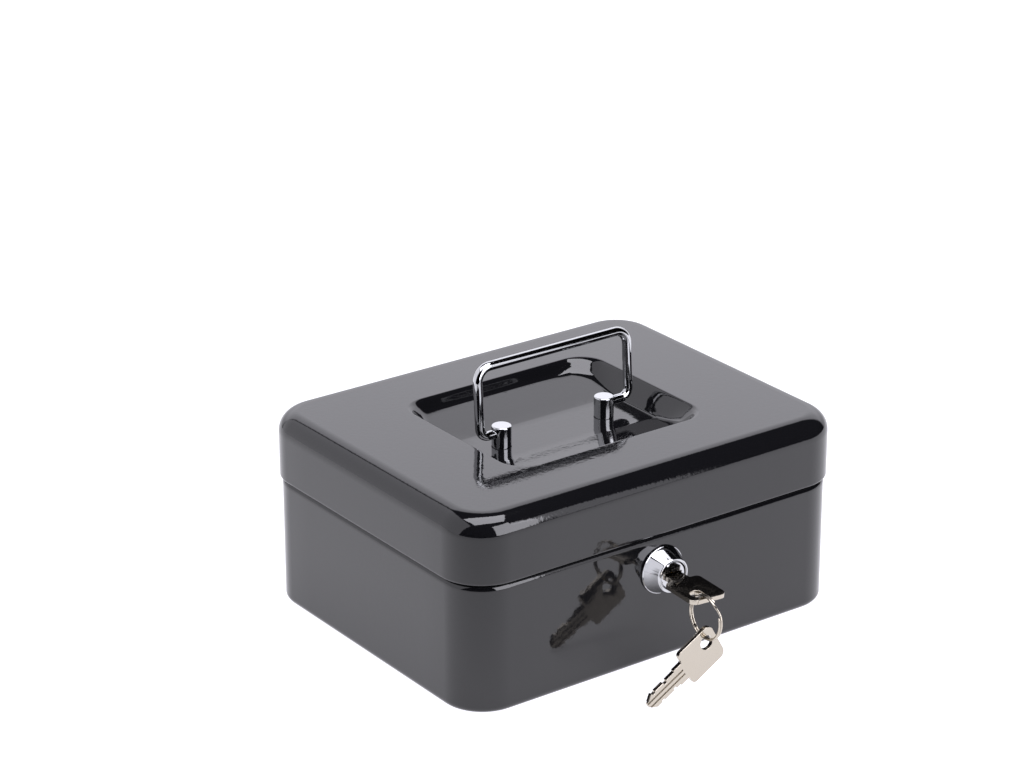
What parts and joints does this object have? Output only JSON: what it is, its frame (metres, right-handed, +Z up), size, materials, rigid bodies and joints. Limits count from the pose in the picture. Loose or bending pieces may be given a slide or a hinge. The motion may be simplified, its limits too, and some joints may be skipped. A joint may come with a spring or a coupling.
{
  "type": "cash box",
  "caption": "Small enamelled steel cash box with overlapping hinged lid, sunk folding bail handle, cam lock with key, spare key on a ring and lift-out coin tray.",
  "frame": {"origin": "centre of the case's flat underside, on the surface it stands on", "axes": "+Z up; +X along the long side, to the right when facing the lock; the lock faces -Y and the hinges are at +Y"},
  "size_m": [0.204, 0.2066, 0.1199],
  "materials": {
    "black_enamel": "glossy stoved black enamel on pressed sheet steel",
    "chrome": "bright chrome plate, polished",
    "zinc_steel": "zinc-plated steel, satin",
    "nickel": "nickel-plated stamped key, slightly warm",
    "ring_steel": "nickel-plated spring steel wire",
    "brass": "plain stamped brass",
    "tray_plastic": "black injection-moulded polystyrene, fine matt grain"
  },
  "bodies": {
    "case": {"case_shell": "black_enamel", "tray_rest_left": "zinc_steel", "tray_rest_right": "zinc_steel", "hinge_leaf_case_left": "black_enamel", "hinge_leaf_case_right": "black_enamel", "hinge_pin_left": "zinc_steel", "hinge_pin_right": "zinc_steel", "lock_housing": "chrome", "lock_nut": "zinc_steel"},
    "lid": {"lid_shell": "black_enamel", "hinge_leaf_lid_left": "black_enamel", "hinge_leaf_lid_right": "black_enamel", "strike_bracket": "zinc_steel", "handle_post_left": "chrome", "handle_post_right": "chrome", "post_washer_left": "zinc_steel", "post_washer_right": "zinc_steel"},
    "bail": {"bail_handle": "chrome"},
    "plug": {"lock_plug": "chrome", "lock_cam": "zinc_steel", "cam_screw": "zinc_steel", "wafer_1": "brass", "wafer_2": "brass", "wafer_3": "brass", "wafer_4": "brass"},
    "key": {"key_in_lock": "nickel"},
    "ring": {"split_ring": "ring_steel"},
    "spare": {"spare_key": "nickel"},
    "tray": {"coin_tray": "tray_plastic"}
  },
  "joints": [
    {"name": "lid_hinge", "type": "hinge", "parent": "case", "child": "lid", "pos_m": [0, 0.082, 0.0598], "axis": [-1, 0, 0], "range_deg": [0, 100]},
    {"name": "bail_pivot", "type": "hinge", "parent": "lid", "child": "bail", "pos_m": [0, 0, 0.0863], "axis": [1, 0, 0], "range_deg": [-86.1, 93.9]},
    {"name": "plug_turn", "type": "hinge", "parent": "case", "child": "plug", "pos_m": [-0.001, 0, 0.043], "axis": [0, 1, 0], "range_deg": [0, 86.5]},
    {"name": "key_slide", "type": "slide", "parent": "plug", "child": "key", "axis": [0, -1, 0], "range_m": [0, 0.018]},
    {"name": "ring_swing", "type": "hinge", "parent": "key", "child": "ring", "pos_m": [-0.004, -0.1122, 0.0436], "axis": [0, 1, 0], "range_deg": [-12, 12]},
    {"name": "spare_swing", "type": "hinge", "parent": "ring", "child": "spare", "pos_m": [-0.004, -0.1122, 0.0247], "axis": [0, 1, 0], "range_deg": [0, 50]},
    {"name": "tray_lift", "type": "slide", "parent": "case", "child": "tray", "axis": [0, 0, 1], "range_m": [0, 0.008]}
  ]
}
